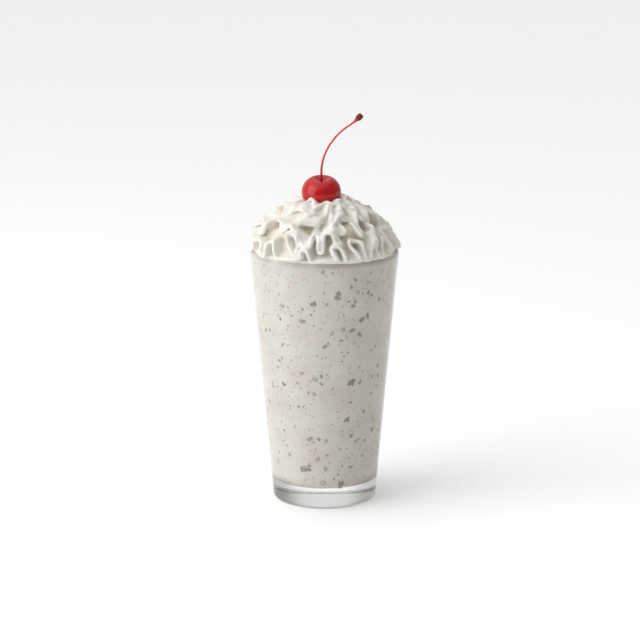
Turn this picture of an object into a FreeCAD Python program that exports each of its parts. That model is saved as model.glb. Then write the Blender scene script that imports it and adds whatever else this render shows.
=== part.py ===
"""A thick milkshake in a tapered glass tumbler, topped with ruffled whipped cream and a stemmed cherry.

Millimetres. +Z is up, +X is to the right and -Y faces the viewer.
The origin is the centre of the glass's foot. Each piece is one solid in its own node: glass, milkshake,
whipped_cream, cherry and cherry_stem.
"""
import FreeCAD
import Part

import math
import os
from collections import namedtuple

from FreeCAD import Vector

# Tumbler
GLASS_HEIGHT = 152.0
RIM_DIAMETER = 88.5
FOOT_DIAMETER = 61.5
WALL = 2.8
RIM_ROUNDING = 1.25
BASE_THICKNESS = 13.0
HEEL_ROUNDING = 3.0
FLOOR_FILLET = 4.0
PUNT_DIAMETER = 44.0
PUNT_DEPTH = 1.2
PUNT_ROUNDING = 1.0

# Drink
FILL_DROP = 1.2

# Whipped cream
CREAM_HEIGHT = 31.0
CREAM_FIT = 0.1
RIM_GAP = 0.4
LOWEST_SWING = 3.4
RUFFLE_THICKNESS = 2.0
RUFFLE_DEPTH = 6.5
RUFFLE_BACK = 1.2
FOLD_SAMPLES = 10

# Cherry
CHERRY_DIAMETER = 23.7
CHERRY_HEIGHT = 21.5
CHERRY_OFFSET = -1.9
CHERRY_TILT = 11.0
CHERRY_SINK = 7.0
CHERRY_FIT = 0.3
DIMPLE_DEPTH = 3.8
DIMPLE_RADIUS = 4.4
NAVEL_DEPTH = 0.9

# Cherry stem: each run is a length and the turn, in degrees, made along it
STEM_DIAMETER = 1.4
STEM_SEAT_DEPTH = 1.5
STEM_RUNS = ((7.0, 0.0), (15.0, 26.0), (21.0, 31.0), (3.0, -12.0))
KNOB_DIAMETER = 3.4
KNOB_LENGTH = 3.6
KNOB_FLARE = 2.4
KNOB_ROUNDING = 0.8

# One ruffle of cream is a folded sheet whose edge faces out.
# reach: how far out its edge lies, 0 at the cherry and 1 at the rim
# rise: height of the sheet's middle above the rim, millimetres; the lowest ruffle's folds clear the rim
# swing: how far the folds run above and below the middle, millimetres
# meander: sideways sway of each fold, as a share of a fold's width; at 0.08 its sides are upright
# folds: number of folds round the ruffle; lag: where the first fold lies, radians
Ruffle = namedtuple("Ruffle", "reach rise swing meander folds lag")
RUFFLES = (
    Ruffle(1.02, LOWEST_SWING + RUFFLE_THICKNESS / 2 + RIM_GAP, LOWEST_SWING, 0.078, folds=18, lag=0.0),
    Ruffle(reach=0.81, rise=0.435 * CREAM_HEIGHT, swing=3.8, meander=0.078, folds=18, lag=0.4),
    Ruffle(reach=0.47, rise=0.720 * CREAM_HEIGHT, swing=2.6, meander=0.070, folds=9, lag=1.2),
)
CROWN = Ruffle(reach=0.12, rise=0.965 * CREAM_HEIGHT, swing=1.4, meander=0.035, folds=6, lag=2.0)
FOLDS_MOST = max(ruffle.folds for ruffle in RUFFLES)
SAMPLES = FOLDS_MOST * FOLD_SAMPLES

RIM_RADIUS = RIM_DIAMETER / 2
FOOT_RADIUS = FOOT_DIAMETER / 2
FILL_HEIGHT = GLASS_HEIGHT - FILL_DROP
CHERRY_CENTRE = Vector(CHERRY_OFFSET, 0, GLASS_HEIGHT + CREAM_HEIGHT - CHERRY_SINK + CHERRY_HEIGHT / 2)


# ---- Outlines turned round the Z axis ----

def bore_radius(height):
    """Inner radius of the tumbler's wall, which tapers evenly from rim to foot."""
    outer = FOOT_RADIUS + (RIM_RADIUS - FOOT_RADIUS) * height / GLASS_HEIGHT
    return outer - WALL


def corner_arc(before, corner, after, rounding):
    """Start, middle and end of the arc that rounds a corner between two straight lines."""
    back = (before - corner).normalize()
    ahead = (after - corner).normalize()
    half = back.getAngle(ahead) / 2
    reach = rounding / math.tan(half)
    inward = (back + ahead).normalize()
    middle = corner + inward * (rounding / math.sin(half) - rounding)
    return corner + back * reach, middle, corner + ahead * reach


def turned(corners):
    """Solid of revolution of (radius, height, rounding) corners that start and end on the axis."""
    points = [Vector(radius, 0, height) for radius, height, _ in corners]
    edges = []
    last = points[0]
    for index in range(1, len(points)):
        rounding = corners[index][2]
        if rounding:
            start, middle, end = corner_arc(points[index - 1], points[index], points[index + 1], rounding)
            edges.append(Part.LineSegment(last, start).toShape())
            edges.append(Part.Arc(start, middle, end).toShape())
            last = end
        else:
            edges.append(Part.LineSegment(last, points[index]).toShape())
            last = points[index]
    edges.append(Part.LineSegment(last, points[0]).toShape())
    face = Part.Face(Part.Wire(edges))
    return face.revolve(Vector(0, 0, 0), Vector(0, 0, 1), 360)


# ---- Tumbler and drink ----

def glass():
    """Thick-based tapered tumbler with a rounded rim, a rounded heel and a shallow hollow under its foot."""
    punt_radius = PUNT_DIAMETER / 2
    return turned([
        (0, PUNT_DEPTH, 0),
        (punt_radius, PUNT_DEPTH, PUNT_ROUNDING),
        (punt_radius + PUNT_DEPTH, 0, 0),
        (FOOT_RADIUS, 0, HEEL_ROUNDING),
        (RIM_RADIUS, GLASS_HEIGHT, RIM_ROUNDING),
        (RIM_RADIUS - WALL, GLASS_HEIGHT, RIM_ROUNDING),
        (bore_radius(BASE_THICKNESS), BASE_THICKNESS, FLOOR_FILLET),
        (0, BASE_THICKNESS, 0),
    ])


def milkshake():
    """The drink, which fills the bore from the floor to just under the rim."""
    return turned([
        (0, BASE_THICKNESS, 0),
        (bore_radius(BASE_THICKNESS), BASE_THICKNESS, FLOOR_FILLET),
        (bore_radius(FILL_HEIGHT), FILL_HEIGHT, 0),
        (0, FILL_HEIGHT, 0),
    ])


# ---- Cherry, first upright round its own centre ----

def cherry_outline(polar, clearance=0.0):
    """Radius and height of the cherry's skin at an angle up from its underside, 0 to 180 degrees."""
    half_width = CHERRY_DIAMETER / 2 + clearance
    half_height = CHERRY_HEIGHT / 2 + clearance
    radius = half_width * math.sin(math.radians(polar))
    height = -half_height * math.cos(math.radians(polar))
    hollow = math.exp(-((radius / DIMPLE_RADIUS) ** 2))
    return radius, height - hollow * (DIMPLE_DEPTH if height > 0 else -NAVEL_DEPTH)


def dimple_floor():
    """Height of the bottom of the cherry's stem dimple above its centre."""
    return cherry_outline(180)[1]


def placed_cherry(shape):
    """Lean a piece of the cherry toward the viewer and put it on top of the cream."""
    shape.rotate(Vector(0, 0, 0), Vector(1, 0, 0), CHERRY_TILT)
    shape.translate(CHERRY_CENTRE)
    return shape


def stem_seat():
    """Start of the stem, which sits in a blind hole in the bottom of the dimple."""
    return Vector(0, 0, dimple_floor() - STEM_SEAT_DEPTH)


def cherry():
    """Flattened round fruit with a deep stem dimple, a slight navel and the stem's hole."""
    steps = 24
    points = []
    for index in range(steps + 1):
        radius, height = cherry_outline(180 * index / steps)
        points.append(Vector(radius, 0, height))
    points[-1].x = 0
    skin = Part.BSplineCurve()
    skin.interpolate(Points=points, InitialTangent=Vector(1, 0, 0), FinalTangent=Vector(-1, 0, 0))
    face = Part.Face(Part.Wire([skin.toShape(), Part.LineSegment(points[-1], points[0]).toShape()]))
    fruit = face.revolve(Vector(0, 0, 0), Vector(0, 0, 1), 360)
    hole = Part.makeCylinder(STEM_DIAMETER / 2, STEM_SEAT_DEPTH + DIMPLE_DEPTH, stem_seat())
    return placed_cherry(fruit.cut(hole))


def stem_path():
    """Edges of the stem's middle line, with the place and direction of its tip."""
    place = stem_seat()
    lean = 0.0
    edges = []
    for length, turn in STEM_RUNS:
        ahead = Vector(math.sin(lean), 0, math.cos(lean))
        if turn == 0:
            end = place + ahead * length
            edges.append(Part.LineSegment(place, end).toShape())
        else:
            angle = math.radians(turn)
            radius = length / angle
            side = Vector(math.cos(lean), 0, -math.sin(lean))
            middle = place + ahead * radius * math.sin(angle / 2) + side * radius * (1 - math.cos(angle / 2))
            end = place + ahead * radius * math.sin(angle) + side * radius * (1 - math.cos(angle))
            edges.append(Part.Arc(place, middle, end).toShape())
            lean += angle
        place = end
    return edges, place, Vector(math.sin(lean), 0, math.cos(lean))


def cherry_stem():
    """Thin curved stem that flares to a small rounded knob at its tip."""
    edges, tip, ahead = stem_path()
    radius = STEM_DIAMETER / 2
    section = Part.Wire(Part.Circle(stem_seat(), Vector(0, 0, 1), radius).toShape())
    stalk = Part.Wire(edges).makePipeShell([section], True, True)
    knob = turned([
        (0, 0, 0),
        (radius, 0, 0),
        (KNOB_DIAMETER / 2, KNOB_FLARE, KNOB_ROUNDING),
        (KNOB_DIAMETER / 2, KNOB_FLARE + KNOB_LENGTH, KNOB_ROUNDING),
        (0, KNOB_FLARE + KNOB_LENGTH, 0),
    ])
    knob.rotate(Vector(0, 0, 0), Vector(0, 1, 0), math.degrees(math.atan2(ahead.x, ahead.z)))
    knob.translate(tip)
    return placed_cherry(stalk.fuse(knob).removeSplitter())


# ---- Whipped cream, a closed skin of rows that each run once round the axis ----

def fold_phase(ruffle, turn):
    """Place along the folds, in radians, at an angle round the cream; folds are unevenly wide."""
    uneven = 0.5 * math.sin(3 * turn + 1.0) + 0.35 * math.sin(5 * turn + 2.5)
    return ruffle.folds * turn + uneven * ruffle.folds / FOLDS_MOST + ruffle.lag


def seat_radius():
    """Radius of the cup that holds the cherry, where it is widest."""
    return CHERRY_DIAMETER / 2 + CHERRY_FIT


def edge_radius(ruffle):
    """How far the edge of a ruffle stands from the axis."""
    return seat_radius() + ruffle.reach * (RIM_RADIUS - seat_radius())


def ruffle_depth(ruffle):
    """How far the space under a ruffle reaches inward, which stops short of the cherry's cup."""
    return min(RUFFLE_DEPTH, edge_radius(ruffle) - seat_radius())


def ruffle_row(ruffle, inset, lift, share, offset):
    """One closed row of a ruffle.

    inset is how far the row lies inside the ruffle's edge and lift how far above its middle.
    share is how much of the swing is left there, and offset is the distance from the sheet's middle.
    """
    edge = edge_radius(ruffle)
    middle = GLASS_HEIGHT + ruffle.rise + lift
    step = edge / ruffle.folds
    sway = ruffle.meander * 2 * math.pi * step * share
    row = []
    for index in range(SAMPLES):
        turn = 2 * math.pi * index / SAMPLES
        phase = fold_phase(ruffle, turn)
        swing = share * ruffle.swing * (1 + 0.15 * math.sin(2 * turn + ruffle.lag)) / 1.15
        along = step + 2 * sway * math.cos(2 * phase)
        climb = -swing * math.sin(phase)
        slope = math.hypot(along, climb)
        side = sway * math.sin(2 * phase) - offset * climb / slope
        height = middle + swing * math.cos(phase) + offset * along / slope
        angle = turn + side / edge
        radius = edge - inset
        row.append(Vector(radius * math.sin(angle), -radius * math.cos(angle), height))
    return row


def ruffle_rows(ruffle, above):
    """Rows of one ruffle: underside outward from the groove, rounded edge, then top inward under the next."""
    half = RUFFLE_THICKNESS / 2
    under_next = edge_radius(ruffle) - edge_radius(above) + ruffle_depth(above) - RUFFLE_BACK
    return [
        ruffle_row(ruffle, ruffle_depth(ruffle), -half, 0.15, -half),
        ruffle_row(ruffle, half, 0, 1, -half),
        ruffle_row(ruffle, 0, 0, 1, 0),
        ruffle_row(ruffle, half, 0, 1, half),
        ruffle_row(ruffle, under_next, half, 0.15, half),
    ]


def level_row(radius, height):
    """One round row at a steady height."""
    row = []
    for index in range(SAMPLES):
        turn = 2 * math.pi * index / SAMPLES
        row.append(Vector(radius * math.sin(turn), -radius * math.cos(turn), height))
    return row


def cup_row(polar):
    """One round row of the cup that the cherry rests in, a fit's clearance away from its skin."""
    radius, height = cherry_outline(polar, CHERRY_FIT)
    tilt = FreeCAD.Rotation(Vector(1, 0, 0), CHERRY_TILT)
    return [CHERRY_CENTRE + tilt.multVec(point) for point in level_row(radius, height)]


def skin_solid(rows, first, last):
    """Closed solid through rows of equal length, ended by a fan round the first and the last point."""
    points = [first]
    for row in rows:
        points.extend(row)
    points.append(last)
    facets = []
    for index in range(SAMPLES):
        beside = (index + 1) % SAMPLES
        facets.append((0, 1 + beside, 1 + index))
        for level in range(len(rows) - 1):
            low = 1 + level * SAMPLES
            high = low + SAMPLES
            facets.append((low + index, low + beside, high + beside))
            facets.append((low + index, high + beside, high + index))
        top = 1 + (len(rows) - 1) * SAMPLES
        facets.append((top + index, top + beside, len(points) - 1))
    shape = Part.Shape()
    shape.makeShapeFromMesh((points, facets), 0.0001)
    return Part.Solid(Part.Shell(shape.Faces))


def whipped_cream():
    """Three ruffles and a crown over a plug that stands on the drink inside the rim."""
    plug_radius = bore_radius(FILL_HEIGHT) - CREAM_FIT
    rows = [
        level_row(plug_radius, FILL_HEIGHT),
        level_row(plug_radius, GLASS_HEIGHT + CREAM_FIT),
    ]
    for ruffle, above in zip(RUFFLES, RUFFLES[1:] + (CROWN,)):
        rows.extend(ruffle_rows(ruffle, above))
    rows.extend(ruffle_rows(CROWN, CROWN)[1:4])
    rows.extend(cup_row(polar) for polar in (55, 40, 25, 10))
    floor = CHERRY_CENTRE + FreeCAD.Rotation(Vector(1, 0, 0), CHERRY_TILT).multVec(
        Vector(0, 0, cherry_outline(0, CHERRY_FIT)[1]))
    return skin_solid(rows, Vector(0, 0, FILL_HEIGHT), floor)


def main():
    os.makedirs("parts", exist_ok=True)
    nodes = {
        "glass": glass(),
        "milkshake": milkshake(),
        "whipped_cream": whipped_cream(),
        "cherry": cherry(),
        "cherry_stem": cherry_stem(),
    }
    for name, shape in nodes.items():
        solid = shape.Solids[0]
        print(f"{name}: {len(shape.Solids)} solid, valid {solid.isValid()}, {solid.Volume / 1000:.1f} cm3")
        solid.exportStep(f"parts/{name}.step")


main()
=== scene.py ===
"""A thick cookie milkshake in a tapered tumbler, with ruffled whipped cream and a stemmed cherry.

Metres. +Z is up, +X is to the right and -Y faces the viewer. Sizes are named in millimetres and turned to metres
where a mesh is made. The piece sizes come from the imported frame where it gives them.
"""

import math
import random
from collections import namedtuple

import bmesh
import bpy
import numpy as np
from mathutils import Matrix, Vector, noise


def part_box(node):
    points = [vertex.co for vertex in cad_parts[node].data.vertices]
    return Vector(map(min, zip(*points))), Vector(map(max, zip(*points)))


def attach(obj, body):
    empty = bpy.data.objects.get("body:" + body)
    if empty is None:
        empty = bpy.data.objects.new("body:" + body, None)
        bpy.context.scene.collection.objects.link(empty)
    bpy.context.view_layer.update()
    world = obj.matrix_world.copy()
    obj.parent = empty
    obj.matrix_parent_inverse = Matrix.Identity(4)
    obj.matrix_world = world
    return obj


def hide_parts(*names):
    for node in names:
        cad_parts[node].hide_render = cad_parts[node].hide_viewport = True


bl_info = {
    "name": "Milkshake",
    "version": (1, 0, 0),
    "blender": (4, 5, 0),
    "location": "View3D > Sidebar > Milkshake",
    "description": "Builds a milkshake in a glass tumbler with whipped cream and a cherry",
    "category": "Object",
}

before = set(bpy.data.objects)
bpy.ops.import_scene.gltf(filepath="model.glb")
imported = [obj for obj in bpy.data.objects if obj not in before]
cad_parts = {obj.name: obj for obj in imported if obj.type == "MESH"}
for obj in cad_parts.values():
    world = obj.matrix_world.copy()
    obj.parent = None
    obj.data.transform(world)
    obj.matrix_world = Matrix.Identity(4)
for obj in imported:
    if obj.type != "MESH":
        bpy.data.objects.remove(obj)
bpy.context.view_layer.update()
MM = 0.001
ROOT = "root"

GLASS_LOW, GLASS_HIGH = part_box("glass")
DRINK_LOW, DRINK_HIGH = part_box("milkshake")
CHERRY_LOW, CHERRY_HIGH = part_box("cherry")
RIM_HEIGHT = GLASS_HIGH.z / MM
FLOOR_HEIGHT = DRINK_LOW.z / MM
FILL_HEIGHT = DRINK_HIGH.z / MM
FILL_RADIUS = DRINK_HIGH.x / MM
CHERRY_CENTRE = (CHERRY_LOW + CHERRY_HIGH) / 2 / MM


# ---- Helpers ----

def linear(colour):
    """Linear red, green, blue and alpha of an sRGB hex colour."""
    parts = [int(colour[index:index + 2], 16) / 255 for index in (1, 3, 5)]
    curve = [part / 12.92 if part <= 0.04045 else ((part + 0.055) / 1.055) ** 2.4 for part in parts]
    return (*curve, 1.0)


def add(tree, kind, inputs=(), **settings):
    """Add a node, set its settings, and give each input its value or the socket that feeds it."""
    made = tree.nodes.new(kind)
    for name, value in settings.items():
        setattr(made, name, value)
    for name, value in dict(inputs).items():
        if isinstance(value, bpy.types.NodeSocket):
            tree.links.new(value, made.inputs[name])
        else:
            made.inputs[name].default_value = value
    return made


def ramp(tree, factor, stops):
    """Colour ramp through (place, hex colour) stops; gives its colour socket."""
    made = add(tree, "ShaderNodeValToRGB", {"Fac": factor})
    elements = made.color_ramp.elements
    while len(elements) < len(stops):
        elements.new(1.0)
    for element, (place, colour) in zip(elements, stops):
        element.position = place
        element.color = linear(colour)
    return made.outputs["Color"]


def new_material(name):
    """Empty node material and its tree, with an output node already there."""
    material = bpy.data.materials.new(name)
    material.use_nodes = True
    tree = material.node_tree
    tree.nodes.clear()
    return material, tree


def surface(tree, inputs):
    """Principled shader joined to the material's output."""
    shader = add(tree, "ShaderNodeBsdfPrincipled", inputs)
    add(tree, "ShaderNodeOutputMaterial", {"Surface": shader.outputs["BSDF"]})


def new_object(name, points, faces, material):
    """Smooth mesh object from points in millimetres."""
    mesh = bpy.data.meshes.new(name)
    mesh.from_pydata([tuple(point) for point in np.asarray(points, float) * MM], [], faces)
    mesh.materials.append(material)
    mesh.polygons.foreach_set("use_smooth", [True] * len(mesh.polygons))
    made = bpy.data.objects.new(name, mesh)
    bpy.context.scene.collection.objects.link(made)
    return made


def as_piece(made, slot, *nodes):
    """Make an object part of the milkshake, and let it stand for the frame's nodes."""
    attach(made, ROOT)
    if nodes:
        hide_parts(*nodes)


def closed_faces(rows, columns):
    """Faces of a ball-like grid: a first point, rows of points that run round, and a last point."""
    faces = [tuple(index + 1 for index in quad) for quad in grid_faces(rows, columns)]
    last = rows * columns + 1
    for column in range(columns):
        beside = (column + 1) % columns
        faces.append((0, 1 + beside, 1 + column))
        faces.append((last, last - columns + column, last - columns + beside))
    return faces


def grid_faces(rows, columns, closed_rows=False):
    """Quads of a grid whose columns run round; its rows may run round as well."""
    faces = []
    for row in range(rows if closed_rows else rows - 1):
        above = (row + 1) % rows
        for column in range(columns):
            beside = (column + 1) % columns
            faces.append((row * columns + column, row * columns + beside,
                          above * columns + beside, above * columns + column))
    return faces


def turned(name, outline, material, steps):
    """Solid of revolution of a (radius, height) outline that starts and ends on the axis."""
    points = [(0, 0, outline[0][1])]
    inner = outline[1:-1]
    for radius, height in inner:
        for step in range(steps):
            angle = 2 * math.pi * step / steps
            points.append((radius * math.sin(angle), -radius * math.cos(angle), height))
    points.append((0, 0, outline[-1][1]))
    made = new_object(name, points, closed_faces(len(inner), steps), material)
    outward(made.data)
    return made


def outward(mesh):
    """Turn every face of a closed mesh so that it faces out."""
    work = bmesh.new()
    work.from_mesh(mesh)
    bmesh.ops.recalc_face_normals(work, faces=work.faces)
    work.to_mesh(mesh)
    work.free()


def rounded(corners, arc_steps=8):
    """Outline through (radius, height, rounding) corners, with each rounding as an arc."""
    points = [Vector((radius, height)) for radius, height, _ in corners]
    outline = []
    for index, corner in enumerate(points):
        rounding = corners[index][2]
        if not rounding:
            outline.append(tuple(corner))
            continue
        back = (points[index - 1] - corner).normalized()
        ahead = (points[index + 1] - corner).normalized()
        half = back.angle(ahead) / 2
        centre = corner + (back + ahead).normalized() * rounding / math.sin(half)
        start = corner + back * rounding / math.tan(half) - centre
        end = corner + ahead * rounding / math.tan(half) - centre
        for step in range(arc_steps + 1):
            spot = start.lerp(end, step / arc_steps).normalized() * rounding
            outline.append(tuple(centre + spot))
    return outline


def split_long(outline, longest):
    """Outline with its long straight stretches cut into shorter ones."""
    result = [outline[0]]
    for before, after in zip(outline, outline[1:]):
        count = max(1, math.ceil(math.dist(before, after) / longest))
        for step in range(1, count + 1):
            share = step / count
            result.append((before[0] + (after[0] - before[0]) * share, before[1] + (after[1] - before[1]) * share))
    return result


# ---- Settings ----

class GlassSettings(bpy.types.PropertyGroup):
    wall: bpy.props.FloatProperty(
        name="Wall", description="Thickness of the tumbler's wall, in millimetres", default=2.8, min=1.5, max=5)
    rim_diameter: bpy.props.FloatProperty(
        name="Rim diameter", description="Width across the rim, in millimetres", default=88.5, min=60, max=110)
    foot_diameter: bpy.props.FloatProperty(
        name="Foot diameter", description="Width across the foot, in millimetres", default=61.5, min=40, max=90)
    heel_rounding: bpy.props.FloatProperty(
        name="Heel rounding", description="Radius of the foot's outer edge, in millimetres", default=3.0, min=0.5)
    tint: bpy.props.StringProperty(
        name="Tint", description="Colour that the clear glass gives, as sRGB hex", default="#FDFEFD")


class DrinkSettings(bpy.types.PropertyGroup):
    colour: bpy.props.StringProperty(
        name="Drink", description="Colour of the drink, as sRGB hex", default="#C2BAB2")
    crumb_dark: bpy.props.StringProperty(
        name="Crumb", description="Colour of a bare cookie crumb, as sRGB hex", default="#4B4745")
    crumb_pale: bpy.props.StringProperty(
        name="Coated crumb", description="Colour of a crumb under a film of drink, as sRGB hex", default="#A29E9B")
    crumbs: bpy.props.IntProperty(
        name="Crumbs", description="Number of scattered crumbs at the wall", default=1800, min=0, max=4000)
    seed: bpy.props.IntProperty(name="Seed", description="Start of the random scatter", default=11)


class CreamSettings(bpy.types.PropertyGroup):
    colour: bpy.props.StringProperty(
        name="Cream", description="Colour of the whipped cream, as sRGB hex", default="#DDD9D1")
    # Painted shade: a warmer, darker colour laid deep in the cream's folds.
    fold_shade: bpy.props.StringProperty(
        name="Fold colour", description="Colour deep in the cream's folds, as sRGB hex", default="#CCBC9A")
    lip: bpy.props.FloatProperty(
        name="Edge thickness", description="Thickness of a fold's edge, in millimetres", default=2.3, min=1, max=4)
    detail: bpy.props.FloatProperty(
        name="Detail", description="Size of the smallest step in the surface, in millimetres", default=0.6, min=0.4)
    seed: bpy.props.IntProperty(name="Seed", description="Start of the folds at the back", default=5)


class CherrySettings(bpy.types.PropertyGroup):
    diameter: bpy.props.FloatProperty(
        name="Diameter", description="Width of the cherry, in millimetres", default=23.7, min=15, max=30)
    height: bpy.props.FloatProperty(
        name="Height", description="Height of the cherry, in millimetres", default=21.5, min=12, max=30)
    colour: bpy.props.StringProperty(
        name="Cherry", description="Colour of the cherry's skin, as sRGB hex", default="#BC171B")
    stem_colour: bpy.props.StringProperty(
        name="Stem", description="Colour of the stem, as sRGB hex", default="#C02A2C")
    knob_colour: bpy.props.StringProperty(
        name="Knob", description="Colour of the stem's knob, as sRGB hex", default="#6E1518")


class StageSettings(bpy.types.PropertyGroup):
    floor_colour: bpy.props.StringProperty(
        name="Floor", description="Colour of the floor, as sRGB hex", default="#FBFBFB")
    key_power: bpy.props.FloatProperty(
        name="Key light", description="Power of the large soft light at the left", default=11, min=0, unit="POWER")
    camera_distance: bpy.props.FloatProperty(
        name="Camera distance", description="From the camera to the middle of the glass", default=1.45,
        min=0.3, subtype="DISTANCE", unit="LENGTH")


SETTINGS = {
    "shake_glass": GlassSettings,
    "shake_drink": DrinkSettings,
    "shake_cream": CreamSettings,
    "shake_cherry": CherrySettings,
    "shake_stage": StageSettings,
}


# ---- Tumbler ----

# Millimetres, apart from the steps round the glass.
FLOOR_FILLET = 4.0
RIM_ROUNDING = 1.25
PUNT_RADIUS = 22.0
PUNT_DEPTH = 1.2
PUNT_ROUNDING = 1.0
GLASS_STEPS = 192
GLASS_RUN = 6
# Heights between which the grey shade painted on the glass's base fades out, then the colour of that painted shade.
BASE_SHADE_FULL = 14
BASE_SHADE_END = 19
BASE_SHADE = "#A5A6A3"


def bore_radius(glass, height):
    """Inner radius of the tumbler's wall, millimetres."""
    foot = glass.foot_diameter / 2
    return foot + (glass.rim_diameter / 2 - foot) * height / RIM_HEIGHT - glass.wall


def pressed_soda_lime_glass(tint):
    """Pressed soda-lime glass, fire polished: clear and glossy, with bright and dark edges from refraction, and a
    painted grey shade toward the sides of its thick base.
    """
    material, tree = new_material("pressed_soda_lime_glass")
    where = add(tree, "ShaderNodeTexCoord").outputs["Object"]
    # Pressing leaves very faint waves about 12 mm long.
    waves = add(tree, "ShaderNodeTexNoise", {"Vector": where, "Scale": 1 / (12 * MM), "Detail": 1.0})
    bump = add(tree, "ShaderNodeBump", {"Height": waves.outputs["Fac"], "Strength": 0.02, "Distance": 0.2 * MM})
    # Painted shade: the thick base is tinted greyer toward its sides, where its surface faces away from the view.
    height = add(tree, "ShaderNodeSeparateXYZ", {"Vector": where}).outputs["Z"]
    base = add(tree, "ShaderNodeMapRange", {
        "Value": height, "From Min": BASE_SHADE_FULL * MM, "From Max": BASE_SHADE_END * MM,
        "To Min": 1.0, "To Max": 0.0},
        interpolation_type="SMOOTHSTEP")
    aside = add(tree, "ShaderNodeLayerWeight", {"Blend": 0.5})
    side_shade = add(tree, "ShaderNodeMapRange", {
        "Value": aside.outputs["Facing"], "From Min": 0.04, "From Max": 0.42, "To Min": 0.0, "To Max": 1.0},
        interpolation_type="SMOOTHSTEP")
    amount = add(tree, "ShaderNodeMath", {0: base.outputs["Result"], 1: side_shade.outputs["Result"]}, operation="MULTIPLY")
    # Painted grey shade is mixed into the glass's colour here.
    tone = add(tree, "ShaderNodeMix", {
        "Factor": amount.outputs["Value"], "A": linear(tint), "B": linear(BASE_SHADE)}, data_type="RGBA")
    body = add(tree, "ShaderNodeBsdfPrincipled", {
        "Base Color": tone.outputs["Result"], "Roughness": 0.0, "IOR": 1.5, "Transmission Weight": 1.0,
        "Normal": bump.outputs["Normal"],
    })
    # Light reaches the drink through the wall.
    path = add(tree, "ShaderNodeLightPath")
    lit = add(tree, "ShaderNodeMath", {
        0: path.outputs["Is Shadow Ray"], 1: path.outputs["Is Diffuse Ray"]}, operation="MAXIMUM")
    clear = add(tree, "ShaderNodeBsdfTransparent", {"Color": linear(tint)})
    both = add(tree, "ShaderNodeMixShader", {
        "Fac": lit.outputs["Value"], 1: body.outputs["BSDF"], 2: clear.outputs["BSDF"]})
    add(tree, "ShaderNodeOutputMaterial", {"Surface": both.outputs["Shader"]})
    return material


class MILKSHAKE_OT_glass(bpy.types.Operator):
    """Make the tapered tumbler with its thick base"""
    bl_idname = "milkshake.glass"
    bl_label = "Tumbler"

    def execute(self, context):
        glass = context.scene.shake_glass
        rim = glass.rim_diameter / 2
        outline = rounded([
            (0, PUNT_DEPTH, 0),
            (PUNT_RADIUS, PUNT_DEPTH, PUNT_ROUNDING),
            (PUNT_RADIUS + PUNT_DEPTH, 0, 0),
            (glass.foot_diameter / 2, 0, glass.heel_rounding),
            (rim, RIM_HEIGHT, RIM_ROUNDING),
            (rim - glass.wall, RIM_HEIGHT, RIM_ROUNDING),
            (bore_radius(glass, FLOOR_HEIGHT), FLOOR_HEIGHT, FLOOR_FILLET),
            (0, FLOOR_HEIGHT, 0),
        ])
        material = pressed_soda_lime_glass(glass.tint)
        made = turned("tumbler", split_long(outline, GLASS_RUN), material, GLASS_STEPS)
        as_piece(made, "glass", "glass")
        return {"FINISHED"}


# ---- Drink and crumbs ----

# Millimetres. The drink reaches this far into the glass, so that no air shows between them.
WALL_REACH = 0.25
# The largest crumbs stand this far out of the drink.
CRUMB_STAND = 0.35
DRINK_RUN = 3
PALE_CLOUD = "#CAC3BB"
# Larger crumbs at the sides and back, where none is listed, and the angles between which they lie.
BACK_CRUMBS = 60
BACK_ANGLES = (60, 300)
# Crumbs wider than this get a finer ball.
FINE_CRUMB_WIDTH = 2.2

Crumb = namedtuple("Crumb", "angle height width covered turn")
# The largest crumbs at the front: angle round the glass in degrees, height in millimetres, width in millimetres,
# share of it that is covered by drink, and turn in degrees.
LARGE_CRUMBS = (
    Crumb(-9, 128, 3.6, 0.35, 20), Crumb(11, 134, 3.2, 0.30, 70), Crumb(11.5, 131, 2.4, 0.45, 10),
    Crumb(1.5, 127.5, 2.2, 0.50, 40), Crumb(20, 129, 2.0, 0.35, 0), Crumb(26, 128.5, 2.2, 0.35, 80),
    Crumb(24, 126, 2.6, 0.35, 30), Crumb(38, 133, 2.6, 0.30, 60), Crumb(42, 131, 2.0, 0.40, 0),
    Crumb(39, 119, 3.4, 0.30, 90), Crumb(33, 117, 3.8, 0.15, 30), Crumb(24, 111, 2.8, 0.30, 10),
    Crumb(31, 108.5, 2.4, 0.35, 60), Crumb(0, 102, 2.6, 0.40, 30), Crumb(3, 104, 1.8, 0.40, 0),
    Crumb(-20, 117, 3.0, 0.55, 15), Crumb(-9, 82, 3.4, 0.70, 0), Crumb(-46, 91, 2.2, 0.65, 20),
    Crumb(46, 97, 2.2, 0.60, 40), Crumb(25, 79, 4.8, 0.10, 20), Crumb(35, 78.5, 2.6, 0.30, 70),
    Crumb(23, 56, 3.8, 0.25, 10), Crumb(28, 45.5, 2.6, 0.35, 50), Crumb(-15, 44.5, 3.0, 0.50, 30),
    Crumb(2, 43.5, 2.4, 0.60, 60), Crumb(29, 25.5, 2.6, 0.55, 0), Crumb(-23, 25, 4.2, 0.35, 15),
    Crumb(-17, 27.5, 2.6, 0.50, 60), Crumb(18, 15.5, 4.4, 0.30, 90), Crumb(-2, 17, 3.6, 0.80, 0),
    Crumb(1, 26, 2.4, 0.60, 80), Crumb(-8, 32, 2.6, 0.75, 30),
)


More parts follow.
